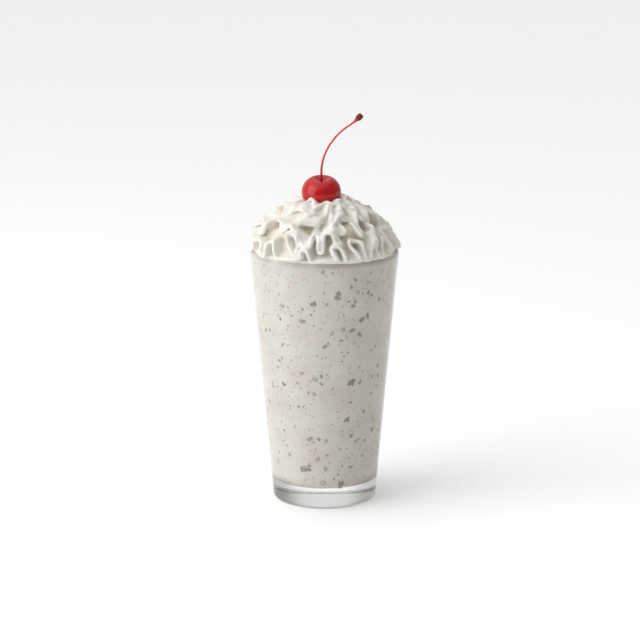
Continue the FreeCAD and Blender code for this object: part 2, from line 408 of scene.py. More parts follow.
def blended_milk(colour, crumb):
    """Ice cream and whole milk, blended: opaque, soft and slightly mottled, with fine cocoa dust."""
    material, tree = new_material("blended_milk_and_ice_cream")
    where = add(tree, "ShaderNodeTexCoord").outputs["Object"]
    # Half-blended ice cream leaves pale clouds about 14 mm across.
    clouds = add(tree, "ShaderNodeTexNoise", {"Vector": where, "Scale": 1 / (14 * MM), "Detail": 3.0})
    base = ramp(tree, clouds.outputs["Fac"], [(0.35, colour), (0.65, PALE_CLOUD)])
    # Cocoa dust is drawn as specks 0.4 mm across, as coarse as it needs to show.
    dust = add(tree, "ShaderNodeTexVoronoi", {"Vector": where, "Scale": 1 / (2.6 * MM), "Randomness": 1.0})
    near = add(tree, "ShaderNodeMapRange", {
        "Value": dust.outputs["Distance"], "From Min": 0.07, "From Max": 0.13, "To Min": 0.45, "To Max": 0.0})
    patch = add(tree, "ShaderNodeTexNoise", {"Vector": where, "Scale": 1 / (9 * MM), "Detail": 2.0})
    some = add(tree, "ShaderNodeMapRange", {
        "Value": patch.outputs["Fac"], "From Min": 0.42, "From Max": 0.62, "To Min": 0.0, "To Max": 1.0})
    amount = add(tree, "ShaderNodeMath", {0: near.outputs["Result"], 1: some.outputs["Result"]}, operation="MULTIPLY")
    mixed = add(tree, "ShaderNodeMix", {
        "Factor": amount.outputs["Value"], "A": base, "B": linear(crumb)}, data_type="RGBA")
    surface(tree, {
        "Base Color": mixed.outputs["Result"], "Roughness": 0.5, "IOR": 1.4,
        "Specular IOR Level": 0.2, "Subsurface Weight": 0.25, "Subsurface Scale": 1.5 * MM,
        "Subsurface Radius": (1.0, 0.85, 0.7),
    })
    return material


def crushed_cocoa_biscuit(dark, pale, drink):
    """Baked cocoa biscuit, crushed: matt grey-brown, greyer and paler where drink covers it."""
    material, tree = new_material("crushed_cocoa_biscuit")
    covered = add(tree, "ShaderNodeAttribute", attribute_name="covered")
    stand = add(tree, "ShaderNodeAttribute", attribute_name="stand")
    own = ramp(tree, covered.outputs["Fac"], [(0.1, dark), (0.75, pale)])
    where = add(tree, "ShaderNodeTexCoord").outputs["Object"]
    grain = add(tree, "ShaderNodeTexNoise", {"Vector": where, "Scale": 1 / (0.5 * MM), "Detail": 3.0})
    speckled = add(tree, "ShaderNodeMix", {
        "Factor": grain.outputs["Fac"], "A": own, "B": linear(pale)}, data_type="RGBA")
    # Drink creeps over a crumb's edge, so its colour fades in there.
    edge = add(tree, "ShaderNodeMapRange", {
        "Value": stand.outputs["Fac"], "From Min": 0.0, "From Max": 1.0, "To Min": 0.0, "To Max": 1.0},
        interpolation_type="SMOOTHSTEP")
    mixed = add(tree, "ShaderNodeMix", {
        "Factor": edge.outputs["Result"], "A": linear(drink), "B": speckled.outputs["Result"]}, data_type="RGBA")
    surface(tree, {
        "Base Color": mixed.outputs["Result"], "Roughness": 0.7, "IOR": 1.4, "Specular IOR Level": 0.2})
    return material


class MILKSHAKE_OT_drink(bpy.types.Operator):
    """Make the drink, which fills the tumbler to just under its rim"""
    bl_idname = "milkshake.drink"
    bl_label = "Drink"

    def execute(self, context):
        glass = context.scene.shake_glass
        drink = context.scene.shake_drink
        outline = rounded([
            (0, FLOOR_HEIGHT - WALL_REACH, 0),
            (bore_radius(glass, FLOOR_HEIGHT) + WALL_REACH, FLOOR_HEIGHT - WALL_REACH, FLOOR_FILLET),
            (bore_radius(glass, FILL_HEIGHT) + WALL_REACH, FILL_HEIGHT, 0),
            (0, FILL_HEIGHT, 0),
        ])
        material = blended_milk(drink.colour, drink.crumb_dark)
        made = turned("milkshake_drink", split_long(outline, DRINK_RUN), material, GLASS_STEPS)
        as_piece(made, "milkshake", "milkshake")
        return {"FINISHED"}


def unit_ball(subdivisions):
    """Points and triangles of a ball of radius 1."""
    work = bmesh.new()
    bmesh.ops.create_icosphere(work, subdivisions=subdivisions, radius=1)
    work.verts.index_update()
    points = [vertex.co.copy() for vertex in work.verts]
    faces = [tuple(vertex.index for vertex in face.verts) for face in work.faces]
    work.free()
    return points, faces


def all_crumbs(drink):
    """The listed crumbs, then a random scatter of small ones, then larger ones at the back."""
    draw = random.Random(drink.seed)
    crumbs = list(LARGE_CRUMBS)
    for _ in range(drink.crumbs):
        size = draw.random()
        # Most are 0.5 to 1.2 mm wide; a few reach 2.8 mm.
        width = 0.5 + 0.7 * size + 1.6 * size ** 14
        angle = draw.uniform(-180, 180)
        height = draw.uniform(FLOOR_HEIGHT + 2, FILL_HEIGHT - 3)
        crumbs.append(Crumb(angle, height, width, draw.uniform(0.2, 1.0), draw.uniform(0, 180)))
    for _ in range(BACK_CRUMBS):
        angle = draw.uniform(*BACK_ANGLES)
        height = draw.uniform(FLOOR_HEIGHT + 3, FILL_HEIGHT - 4)
        width = draw.uniform(1.4, 3.2)
        crumbs.append(Crumb(angle, height, width, draw.uniform(0.3, 0.9), draw.uniform(0, 180)))
    return crumbs


def crumb_points(glass, crumb, number, ball):
    """Points of one ragged crumb that stands a little out of the drink, and how clear of it each point is."""
    radius = bore_radius(glass, crumb.height) + WALL_REACH
    angle = math.radians(crumb.angle)
    out = Vector((math.sin(angle), -math.cos(angle), 0))
    side = Vector((math.cos(angle), math.sin(angle), 0))
    turn = math.radians(crumb.turn)
    half = crumb.width / 2
    height_out = CRUMB_STAND * min(1, half)
    points, stand = [], []
    for place in ball:
        # A broad and a fine noise make each crumb ragged in its own way.
        ragged = 1 + 0.8 * noise.noise(place * 1.5 + Vector((number * 7.3, 0, 0)))
        ragged += 0.35 * noise.noise(place * 3.7 + Vector((0, number * 3.1, 0)))
        wide = place.x * half * ragged
        tall = place.z * half * ragged * 0.72
        across = wide * math.cos(turn) - tall * math.sin(turn)
        up = wide * math.sin(turn) + tall * math.cos(turn)
        depth = place.y * max(half * 0.8, 0.4) * ragged
        spot = out * (radius + min(depth, height_out)) + side * across + Vector((0, 0, crumb.height + up))
        # No point stands further into the glass than the crumb may.
        reach = math.hypot(spot.x, spot.y)
        wall = bore_radius(glass, spot.z) + WALL_REACH
        if reach > wall + height_out:
            spot.x *= (wall + height_out) / reach
            spot.y *= (wall + height_out) / reach
        points.append(spot)
        above = (math.hypot(spot.x, spot.y) - wall) / height_out
        stand.append(min(1, max(0, above * (1.5 - crumb.covered))))
    return points, stand


class MILKSHAKE_OT_crumbs(bpy.types.Operator):
    """Scatter crushed cookie crumbs at the wall of the drink"""
    bl_idname = "milkshake.crumbs"
    bl_label = "Cookie crumbs"

    def execute(self, context):
        glass = context.scene.shake_glass
        drink = context.scene.shake_drink
        coarse, fine = unit_ball(2), unit_ball(3)
        points, faces, covered, stand = [], [], [], []
        for number, crumb in enumerate(all_crumbs(drink)):
            ball, ball_faces = fine if crumb.width > FINE_CRUMB_WIDTH else coarse
            first = len(points)
            faces.extend(tuple(first + index for index in face) for face in ball_faces)
            spots, clear = crumb_points(glass, crumb, number, ball)
            points.extend(spots)
            stand.extend(clear)
            covered.extend([crumb.covered] * len(spots))
        material = crushed_cocoa_biscuit(drink.crumb_dark, drink.crumb_pale, drink.colour)
        made = new_object("cookie_crumbs", points, faces, material)
        for name, values in (("covered", covered), ("stand", stand)):
            made.data.attributes.new(name, "FLOAT", "POINT").data.foreach_set("value", values)
        as_piece(made, "milkshake")
        return {"FINISHED"}


# ---- Whipped cream ----

Fold = namedtuple("Fold", "angle rise round")
# The edges of the cream's ruffles, from the viewer's left to the right. Each fold has the angle of its top or
# bottom round the cream in degrees, its height above the rim and the roundness of its bend, in millimetres.
LOWER_EDGE = (
    Fold(-95, 9.4, 6.5), Fold(-82, 1.4, 3.6), Fold(-67, 9.0, 7.0), Fold(-54, 1.2, 3.2), Fold(-46, 10.8, 4.8),
    Fold(-38, 1.5, 3.6), Fold(-22.5, 2.0, 4.4), Fold(-29.5, 16.0, 7.6), Fold(-19.3, 3.2, 2.4), Fold(-15.6, 7.8, 3.6),
    Fold(-8.5, 1.3, 3.2), Fold(0, 1.9, 2.6), Fold(9.4, 1.4, 3.6), Fold(8.0, 9.4, 6.8), Fold(18.6, 1.1, 3.4),
    Fold(27.6, 1.4, 3.4), Fold(24.4, 12.4, 8.6), Fold(34, 1.0, 3.4), Fold(47, 14.6, 1.4), Fold(46, 1.7, 1.6),
    Fold(50.5, 1.4, 2.8), Fold(58.5, 11.0, 5.6), Fold(63, 3.4, 2.8), Fold(75, 15.0, 6.6), Fold(86, 2.2, 3.6),
)
MIDDLE_EDGE = (
    Fold(-98, 13.0, 3.6), Fold(-84, 18.6, 6.4), Fold(-69, 13.4, 3.6), Fold(-53.5, 21.0, 5.0), Fold(-38.5, 16.2, 3.6),
    Fold(-32, 18.6, 5.0), Fold(-13.6, 9.2, 4.2), Fold(-7.4, 16.2, 3.8), Fold(-3.0, 6.4, 3.4), Fold(2.2, 16.6, 5.0),
    Fold(12.4, 10.2, 4.6), Fold(8.4, 17.6, 4.2), Fold(16.8, 16.4, 3.4), Fold(17.2, 23.4, 4.4), Fold(29, 23.0, 2.0),
    Fold(35, 14.4, 3.2), Fold(43.5, 24.4, 6.4), Fold(54, 12.6, 3.2), Fold(67, 23.6, 7.4), Fold(83, 12.4, 3.6),
)
UPPER_EDGE = (
    Fold(-106, 24.4, 5.0), Fold(-78, 27.0, 5.0), Fold(-57, 23.6, 4.0), Fold(-40, 27.2, 3.6), Fold(-13, 25.2, 3.0),
    Fold(-25, 21.6, 2.8), Fold(-8, 21.4, 4.2), Fold(9.8, 29.2, 2.0), Fold(6.6, 19.2, 1.4), Fold(21, 24.6, 4.0),
    Fold(32, 29.4, 3.6), Fold(45, 21.8, 2.4), Fold(60, 28.4, 3.4), Fold(76, 20.4, 3.2),
    Fold(94, 30.2, 3.2),
)
CROWN_EDGE = (
    Fold(-104, 28.6, 3.0), Fold(-78, 31.0, 2.6), Fold(-56, 28.4, 2.0), Fold(-38, 32.6, 1.2), Fold(-14, 28.6, 2.6),
    Fold(6, 30.6, 2.4), Fold(24, 29.4, 2.4), Fold(40, 31.4, 2.0), Fold(56, 28.8, 2.2), Fold(80, 32.0, 2.4),
)
# reach and rise: where the sheet's inner end lies, millimetres from the axis and above the rim
# spacing: degrees from one fold to the next at the back; low and high: rises of the folds there
Ruffle = namedtuple("Ruffle", "edge reach rise spacing low high")
RUFFLES = (
    Ruffle(LOWER_EDGE, 28.0, 11.0, 9.5, (1.2, 2.6), (8.5, 13.5)),
    Ruffle(MIDDLE_EDGE, 17.0, 24.5, 9.5, (9.0, 14.0), (17.0, 22.5)),
    Ruffle(UPPER_EDGE, 8.0, 28.0, 15.0, (19.5, 23.5), (26.5, 29.0)),
    Ruffle(CROWN_EDGE, 6.0, 27.0, 20.0, (27.6, 29.0), (30.4, 32.2)),
)
# The dome that the ruffles' edges lie on, in millimetres, and how far they stray from it.
DOME_RADIUS = 44.4
DOME_HEIGHT = 33.0
LEAST_RADIUS = 13.0
WOBBLE = 2.2
# Points on the curve from one fold to the next, then the even step along the whole edge, in millimetres.
CURVE_POINTS = 40
PATH_STEP = 0.45
# A sheet's inner part follows its edge, averaged over about this many millimetres.
FOLD_REACH = 10
SHEET_ROWS = 12
# A sheet's inner end is thicker than its edge by this share of the edge's thickness.
SHEET_SWELL = 1.4
BEAD_ANGLES = (60, 30, 0, -30, -60)
CORE_STEPS = 96
SOFTEN_ROUNDS = 2
# The painted fold shade starts on cream this far under the dome, and is full this much deeper, in millimetres.
FOLD_SHADE_START = 2.6
FOLD_SHADE_FULL = 7
# The mound swells unevenly, in lumps this wide, by a share of its radius and by a height in millimetres.
LUMP_SIZE = 7.5
LUMP_SHARE = 0.072
LUMP_RISE = 2.8
# Its right shoulder sinks inward by this share of its radius.
SLUMP = 0.10
# The swell starts this high above the rim and is full this much higher. It leaves alone a circle round the cherry
# of this radius, and sets in over this width round it. All are in millimetres.
SWELL_START = 3
SWELL_FULL = 12
CHERRY_CLEARING = 13
CLEARING_EDGE = 9
LEAST_FACES = 1000
# Painted shade, halfway down into the cream's folds.
HALF_FOLD_SHADE = "#DAD1BF"


def dome_radius(rise):
    """Outer radius of the cream at a height above the rim."""
    share = np.clip(np.asarray(rise, float) / DOME_HEIGHT, 0, 0.995)
    return np.maximum(DOME_RADIUS * (1 - share ** 2.2) ** 0.62, LEAST_RADIUS)


def whole_edge(ruffle, draw):
    """Listed folds at the front, joined at the back by folds of irregular width and height."""
    folds = list(ruffle.edge)
    start = folds[-1].angle
    gap = folds[0].angle + 360 - start
    count = max(1, round(gap / ruffle.spacing) // 2 * 2)
    up = folds[-1].rise < folds[-2].rise
    for index in range(1, count):
        high = (index % 2 == 1) == up
        lowest, highest = ruffle.high if high else ruffle.low
        angle = start + gap * (index + draw.uniform(-0.22, 0.22)) / count
        bend = draw.uniform(5.4, 7.4) if high else draw.uniform(2.8, 3.8)
        folds.append(Fold(angle, draw.uniform(lowest, highest), bend))
    return folds


def edge_path(folds):
    """Angles and rises along a ruffle's edge, in even steps, from curves that lie level at each fold."""
    arcs, rises = [], []
    for index, fold in enumerate(folds):
        after = folds[(index + 1) % len(folds)]
        turn = 360 if index == len(folds) - 1 else 0
        end_angle = math.radians(after.angle + turn)
        share = np.linspace(0, 1, CURVE_POINTS, endpoint=False)[:, None]
        radius = (dome_radius(fold.rise) + dome_radius(after.rise)) / 2
        start = np.array([math.radians(fold.angle) * radius, fold.rise])
        end = np.array([end_angle * radius, after.rise])
        leave = start + (fold.round, 0)
        arrive = end - (after.round, 0)
        curve = (start * (1 - share) ** 3 + leave * 3 * share * (1 - share) ** 2
                 + arrive * 3 * share ** 2 * (1 - share) + end * share ** 3)
        arcs.append(curve[:, 0] / radius)
        rises.append(curve[:, 1])
    angle = np.concatenate(arcs)
    rise = np.concatenate(rises)
    angle = np.append(angle, angle[0] + 2 * math.pi)
    rise = np.append(rise, rise[0])
    length = np.concatenate([[0], np.cumsum(np.hypot(np.diff(angle) * dome_radius(rise[:-1]), np.diff(rise)))])
    even = np.linspace(0, length[-1], round(length[-1] / PATH_STEP), endpoint=False)
    return np.interp(even, length, angle), np.interp(even, length, rise)


def smoothed(values, width, turn=0.0):
    """Running average round a closed path; turn is what the values grow by in one round."""
    count = len(values)
    padded = np.concatenate([values - turn, values, values + turn])
    reach = np.arange(-3 * width, 3 * width + 1)
    weights = np.exp(-0.5 * (reach / width) ** 2)
    weights /= weights.sum()
    return np.convolve(padded, weights, mode="same")[count:2 * count]


def sheet_points(ruffle, draw):
    """Middle surface of a ruffle: rows along its edge, from the edge inward."""
    angle, rise = edge_path(whole_edge(ruffle, draw))
    shift = draw.uniform(0, 50)
    outer = dome_radius(rise) + WOBBLE * np.array([
        noise.noise((3 * math.sin(turn), 3 * math.cos(turn), shift + height / 6))
        for turn, height in zip(angle, rise)])
    width = round(FOLD_REACH / PATH_STEP)
    mean_angle = smoothed(angle, width, 2 * math.pi)
    mean_rise = smoothed(rise, width)
    mean_radius = smoothed(outer, width)
    rows = []
    for row in range(SHEET_ROWS + 1):
        inward = row / SHEET_ROWS
        keep = (1 - inward ** 1.6) ** 1.4
        turn = mean_angle + (angle - mean_angle) * keep
        height = mean_rise + (ruffle.rise - mean_rise) * inward ** 1.25 + (rise - mean_rise) * keep
        radius = mean_radius + (ruffle.reach - mean_radius) * inward + (outer - mean_radius) * keep
        rows.append(np.stack([radius * np.sin(turn), -radius * np.cos(turn), RIM_HEIGHT + height], axis=1))
    return np.array(rows)


def thick_sheet(rows, lip):
    """Closed skin round a middle surface, with a rounded edge, that thickens inward."""
    along = np.roll(rows, -1, axis=1) - np.roll(rows, 1, axis=1)
    inward = np.gradient(rows, axis=0)
    normal = np.cross(along, inward)
    normal /= np.linalg.norm(normal, axis=2, keepdims=True)
    outward_edge = -inward[0] / np.linalg.norm(inward[0], axis=1, keepdims=True)
    half = lip / 2 * (1 + SHEET_SWELL * np.linspace(0, 1, len(rows)))[:, None, None]
    upper = rows + normal * half
    lower = rows - normal * half
    bead = [rows[0] + (outward_edge * math.cos(turn) + normal[0] * math.sin(turn)) * lip / 2
            for turn in np.radians(BEAD_ANGLES)]
    skin = [*upper[::-1], *bead, *lower]
    points = np.concatenate(skin)
    return points, grid_faces(len(skin), rows.shape[1], closed_rows=True)


def cream_core():
    """Outline of the solid cream under the ruffles, from the drink up to the cherry."""
    return [
        (0, FILL_HEIGHT - 0.3), (FILL_RADIUS - 0.3, FILL_HEIGHT - 0.3), (FILL_RADIUS, RIM_HEIGHT + 0.4),
        (42.0, RIM_HEIGHT + 1.0), (39.5, RIM_HEIGHT + 3), (38.0, RIM_HEIGHT + 9), (34.0, RIM_HEIGHT + 15),
        (27.5, RIM_HEIGHT + 20.5), (18.5, RIM_HEIGHT + 25.5), (9, RIM_HEIGHT + 27), (0, RIM_HEIGHT + 27),
    ]


def whipped_dairy_cream(colour, fold_shade):
    """Dairy cream, whipped and piped: soft satin white, with painted shade that turns it warmer and yellower deep in
    the folds.
    """
    material, tree = new_material("whipped_dairy_cream")
    where = add(tree, "ShaderNodeTexCoord").outputs["Object"]
    # Air bubbles and torn fat give a fine grain about 0.8 mm wide.
    grain = add(tree, "ShaderNodeTexNoise", {"Vector": where, "Scale": 1 / (0.8 * MM), "Detail": 3.0})
    swell = add(tree, "ShaderNodeTexNoise", {"Vector": where, "Scale": 1 / (5 * MM), "Detail": 2.0})
    # Painted shade: the deeper a point lies in the folds, the warmer and darker its colour.
    depth = add(tree, "ShaderNodeAttribute", attribute_name="fold_shade_depth")
    noise_and_fold_shade = add(tree, "ShaderNodeMath", {
        0: swell.outputs["Fac"], 1: 0.3, 2: depth.outputs["Fac"]}, operation="MULTIPLY_ADD")
    tone = ramp(tree, noise_and_fold_shade.outputs["Value"], [(0.2, colour), (0.6, HALF_FOLD_SHADE), (1.0, fold_shade)])
    fine = add(tree, "ShaderNodeBump", {
        "Height": grain.outputs["Fac"], "Strength": 0.12, "Distance": 0.12 * MM})
    broad = add(tree, "ShaderNodeBump", {
        "Height": swell.outputs["Fac"], "Strength": 0.25, "Distance": 0.4 * MM, "Normal": fine.outputs["Normal"]})
    surface(tree, {
        "Base Color": tone, "Roughness": 0.45, "IOR": 1.4, "Specular IOR Level": 0.35,
        "Subsurface Weight": 0.25, "Subsurface Scale": 1.2 * MM, "Subsurface Radius": (1.0, 0.8, 0.55),
        "Normal": broad.outputs["Normal"],
    })
    return material


def apply_modifiers(made):
    """Keep an object's mesh as its modifiers show it, and drop the modifiers."""
    shown = made.evaluated_get(bpy.context.evaluated_depsgraph_get())
    mesh = bpy.data.meshes.new_from_object(shown)
    made.modifiers.clear()
    made.data = mesh


def keep_largest(mesh):
    """Drop the specks that remeshing leaves loose beside the main body."""
    work = bmesh.new()
    work.from_mesh(mesh)
    bodies = []
    for first in work.verts:
        if first.tag:
            continue
        first.tag = True
        body = [first]
        # The list grows while it is walked, until the whole body is in it.
        for vertex in body:
            for edge in vertex.link_edges:
                beside = edge.other_vert(vertex)
                if not beside.tag:
                    beside.tag = True
                    body.append(beside)
        bodies.append(body)
    bodies.sort(key=len)
    for body in bodies[:-1]:
        bmesh.ops.delete(work, geom=body, context="VERTS")
    work.to_mesh(mesh)
    work.free()


def shape_mound(mesh):
    """Note how deep each point lies in the folds, as the mask of the painted fold shade, then swell the mound unevenly
    and let its right side slump.
    """
    spots = np.empty(len(mesh.vertices) * 3)
    mesh.vertices.foreach_get("co", spots)
    spots = spots.reshape(-1, 3) / MM
    radius = np.hypot(spots[:, 0], spots[:, 1])
    rise = spots[:, 2] - RIM_HEIGHT
    # Mask of the painted fold shade: 0 near the dome's surface, 1 deep in a fold.
    depth = np.clip((dome_radius(rise) - radius - FOLD_SHADE_START) / FOLD_SHADE_FULL, 0, 1)
    mesh.attributes.new("fold_shade_depth", "FLOAT", "POINT").data.foreach_set("value", depth)
    lumps = np.array([noise.noise(spot / LUMP_SIZE) for spot in spots])
    right = np.clip(spots[:, 0] / np.maximum(radius, 1), 0, 1) ** 1.5
    high = np.clip((rise - SWELL_START) / SWELL_FULL, 0, 1)
    spread = np.clip((radius - CHERRY_CLEARING) / CLEARING_EDGE, 0, 1) * high * high * (3 - 2 * high)
    spots[:, :2] *= (1 + spread * (LUMP_SHARE * lumps - SLUMP * right))[:, None]
    spots[:, 2] += LUMP_RISE * lumps * spread
    mesh.vertices.foreach_set("co", (spots * MM).ravel())
    mesh.update()


class MILKSHAKE_OT_cream(bpy.types.Operator):
    """Make the whipped cream: ruffled sheets round a solid core, joined into one piece"""
    bl_idname = "milkshake.cream"
    bl_label = "Whipped cream"

    def execute(self, context):
        cream = context.scene.shake_cream
        draw = random.Random(cream.seed)
        material = whipped_dairy_cream(cream.colour, cream.fold_shade)
        core = turned("whipped_cream_ruffles", cream_core(), material, CORE_STEPS)
        joined = bmesh.new()
        joined.from_mesh(core.data)
        for ruffle in RUFFLES:
            points, faces = thick_sheet(sheet_points(ruffle, draw), cream.lip)
            sheet = new_object("sheet", points, faces, material)
            outward(sheet.data)
            joined.from_mesh(sheet.data)
            bpy.data.objects.remove(sheet)
        joined.to_mesh(core.data)
        joined.free()
        remesh = core.modifiers.new("remesh", "REMESH")
        remesh.mode = "VOXEL"
        remesh.voxel_size = cream.detail * MM
        soften = core.modifiers.new("soften", "SMOOTH")
        soften.factor = 0.5
        soften.iterations = SOFTEN_ROUNDS
        apply_modifiers(core)
        keep_largest(core.data)
        core.data.polygons.foreach_set("use_smooth", [True] * len(core.data.polygons))
        shape_mound(core.data)
        if len(core.data.polygons) < LEAST_FACES:
            raise RuntimeError("the cream's ruffles could not be joined")
        as_piece(core, "whipped_cream", "whipped_cream")
        return {"FINISHED"}


# ---- Cherry ----

CHERRY_TILT = math.radians(11)
# Millimetres.
DIMPLE_DEPTH = 3.8
DIMPLE_RADIUS = 4.4
NAVEL_DEPTH = 0.9
STEM_SEAT_DEPTH = 1.5
# Runs along the stem: length in millimetres, and how many degrees it bends to the right.
STEM_RUNS = ((7.0, 0.0), (15.0, 26.0), (21.0, 31.0), (3.0, -12.0), (6.0, 0.0))
STEM_STEP = 0.4
STEM_STEPS = 20
CHERRY_ROWS = 96
CHERRY_STEPS = 128
DARK_SKIN = "#A81115"
STALK_FOOT = "#8E1C20"
STALK_END = "#C9383A"


def cherry_place():
    """Matrix that leans the upright cherry toward the viewer and sets it on the cream, in millimetres."""
    return Matrix.Translation(CHERRY_CENTRE) @ Matrix.Rotation(CHERRY_TILT, 4, "X")


def cherry_skin(cherry, polar, turn):
    """Point of the cherry's skin; polar runs from its underside up to its dimple."""
    radius = cherry.diameter / 2 * math.sin(polar)
    height = -cherry.height / 2 * math.cos(polar)
    hollow = math.exp(-((radius / DIMPLE_RADIUS) ** 2))
    height -= hollow * (DIMPLE_DEPTH if height > 0 else -NAVEL_DEPTH)
    # A faint seam runs down one side, and the fruit isn't quite round.
    seam = math.exp(-((math.remainder(turn - math.radians(62), 2 * math.pi) / 0.16) ** 2))
    radius *= 1 - 0.022 * seam * math.sin(polar)
    radius *= 1 + 0.012 * math.cos(2 * turn + 0.6)
    return Vector((radius * math.sin(turn), -radius * math.cos(turn), height))


def candied_cherry_skin(colour):
    """Candied cherry in syrup: deep clear red skin, wet and very glossy."""
    material, tree = new_material("candied_cherry_skin")
    where = add(tree, "ShaderNodeTexCoord").outputs["Object"]
    blotch = add(tree, "ShaderNodeTexNoise", {"Vector": where, "Scale": 1 / (6 * MM), "Detail": 2.0})
    tone = ramp(tree, blotch.outputs["Fac"], [(0.3, DARK_SKIN), (0.7, colour)])
    # The skin puckers slightly, in folds about 3 mm wide.
    pucker = add(tree, "ShaderNodeTexNoise", {"Vector": where, "Scale": 1 / (3 * MM), "Detail": 1.0})
    bump = add(tree, "ShaderNodeBump", {"Height": pucker.outputs["Fac"], "Strength": 0.15, "Distance": 0.3 * MM})
    surface(tree, {
        "Base Color": tone, "Roughness": 0.3, "IOR": 1.4, "Specular IOR Level": 0.05,
        "Subsurface Weight": 0.12, "Subsurface Scale": 2.0 * MM, "Subsurface Radius": (1.0, 0.12, 0.08),
        "Coat Weight": 0.6, "Coat Roughness": 0.03, "Normal": bump.outputs["Normal"],
    })
    return material


def dyed_cherry_stalk(stem, knob):
    """Dyed fruit stalk: satin red with fine ribs along it, browner and darker at the knob."""
    material, tree = new_material("dyed_cherry_stalk")
    along = add(tree, "ShaderNodeAttribute", attribute_name="along")
    tone = ramp(tree, along.outputs["Fac"], [(0.0, STALK_FOOT), (0.14, stem), (0.88, STALK_END), (0.94, knob)])
    where = add(tree, "ShaderNodeTexCoord").outputs["Object"]
    fibre = add(tree, "ShaderNodeTexNoise", {"Vector": where, "Scale": 1 / (0.7 * MM), "Detail": 2.0})
    bump = add(tree, "ShaderNodeBump", {"Height": fibre.outputs["Fac"], "Strength": 0.3, "Distance": 0.15 * MM})
    surface(tree, {
        "Base Color": tone, "Roughness": 0.35, "IOR": 1.45, "Specular IOR Level": 0.4,
        "Subsurface Weight": 0.15, "Subsurface Scale": 0.6 * MM, "Subsurface Radius": (1.0, 0.15, 0.1),
        "Normal": bump.outputs["Normal"],
    })
    return material


class MILKSHAKE_OT_cherry(bpy.types.Operator):
    """Make the cherry with its stem dimple"""
    bl_idname = "milkshake.cherry"
    bl_label = "Cherry"

    def execute(self, context):
        cherry = context.scene.shake_cherry
        place = cherry_place()
        points = [place @ cherry_skin(cherry, 0, 0)]
        for row in range(1, CHERRY_ROWS):
            polar = math.pi * row / CHERRY_ROWS
            for step in range(CHERRY_STEPS):
                points.append(place @ cherry_skin(cherry, polar, 2 * math.pi * step / CHERRY_STEPS))
        points.append(place @ cherry_skin(cherry, math.pi, 0))
        faces = closed_faces(CHERRY_ROWS - 1, CHERRY_STEPS)
        made = new_object("cherry_fruit", points, faces, candied_cherry_skin(cherry.colour))
        outward(made.data)
        as_piece(made, "cherry", "cherry")
        return {"FINISHED"}


def stem_line(cherry):
    """Points along the middle of the stem, in the upright cherry's frame."""
    spot = Vector((0, 0, cherry.height / 2 - DIMPLE_DEPTH - STEM_SEAT_DEPTH))
    lean = 0.0
    line = [spot.copy()]
    for length, turn in STEM_RUNS:
        count = max(2, round(length / STEM_STEP))
        for _ in range(count):
            lean += math.radians(turn) / count
            spot = spot + Vector((math.sin(lean), 0, math.cos(lean))) * length / count
            line.append(spot.copy())
    return line


def stem_radius(share):
    """Radius along the stem: wider where it leaves the fruit, thin in the middle, flared to its knob."""
    # Millimetres: 0.56 in the middle, 0.24 more at its foot, and 0.55 and 0.95 more at its flare and its knob.
    thin = 0.56 + 0.24 * math.exp(-((share / 0.22) ** 2))
    flare = 0.55 * math.exp(-(((share - 0.93) / 0.05) ** 2))
    knob = 0.95 / (1 + math.exp(-(share - 0.925) / 0.008))
    # The last 3.5 % rounds off the knob's end.
    close = math.sqrt(max(0.0, 1 - max(0.0, (share - 0.965) / 0.035) ** 2))
    return (thin + flare + knob) * close


class MILKSHAKE_OT_stem(bpy.types.Operator):
    """Make the cherry's curved stem and its knob"""
    bl_idname = "milkshake.stem"
    bl_label = "Cherry stem"

    def execute(self, context):
        cherry = context.scene.shake_cherry
        line = stem_line(cherry)
        place = cherry_place()
        rings, along = [], []
        count = len(line)
        for index, spot in enumerate(line[:-1]):
            share = index / (count - 1)
            ahead = (line[min(index + 1, count - 1)] - line[max(index - 1, 0)]).normalized()
            side = Vector((0, 1, 0)).cross(ahead)
            radius = stem_radius(share)
            # The knob is lumpy; the rest of the stem has five faint ribs.
            lumps = 0.28 / (1 + math.exp(-(share - 0.9) / 0.012))
            for step in range(STEM_STEPS):
                turn = 2 * math.pi * step / STEM_STEPS
                way = side * math.cos(turn) + Vector((0, 1, 0)) * math.sin(turn)
                rough = 1 + 0.05 * math.sin(5 * turn) + lumps * noise.noise((spot + way * 2) * 0.55)
                rings.append(place @ (spot + way * radius * rough))
                along.append(share)
        first, last = place @ line[0], place @ line[-2]
        points = [first, *rings, last]
        along = [0.0, *along, 1.0]
        material = dyed_cherry_stalk(cherry.stem_colour, cherry.knob_colour)
        made = new_object("cherry_stalk", points, closed_faces(count - 1, STEM_STEPS), material)
        made.data.attributes.new("along", "FLOAT", "POINT").data.foreach_set("value", along)
        outward(made.data)
        as_piece(made, "cherry_stem", "cherry_stem")
        return {"FINISHED"}


# ---- Stage ----

CAMERA_ELEVATION = math.radians(13.1)
CAMERA_TARGET = Vector((-2.7, 0, 109)) * MM
CAMERA_LENS = 136.5
SENSOR_WIDTH = 36
FLOOR_REACH = 12000
KEY_PLACE = (-1.05, -0.50, 0.62)
KEY_TARGET = (0, 0, 0.12)
KEY_SIZE = 1.2
KEY_TINT = (0.94, 0.98, 1.0)
# The sky's brightness goes from its dim to its bright value toward its bright side, and more is added overhead.
SKY_BRIGHT_SIDE = (-0.64, 0.64, 0.42)
SKY_DIM, SKY_BRIGHT = 0.25, 0.72
SKY_TOP = (-0.2, -0.1, 0.97)
SKY_OVERHEAD = 0.8


def matt_white_board(colour):
    """Matt white studio board: pale and even, with a very faint tooth."""
    material, tree = new_material("matt_white_board")
    where = add(tree, "ShaderNodeTexCoord").outputs["Object"]
    tooth = add(tree, "ShaderNodeTexNoise", {"Vector": where, "Scale": 1 / (3 * MM)})
    tone = ramp(tree, tooth.outputs["Fac"], [(0.0, colour), (1.0, "#FFFFFF")])
    surface(tree, {"Base Color": tone, "Roughness": 0.9, "Specular IOR Level": 0.1})
    return material


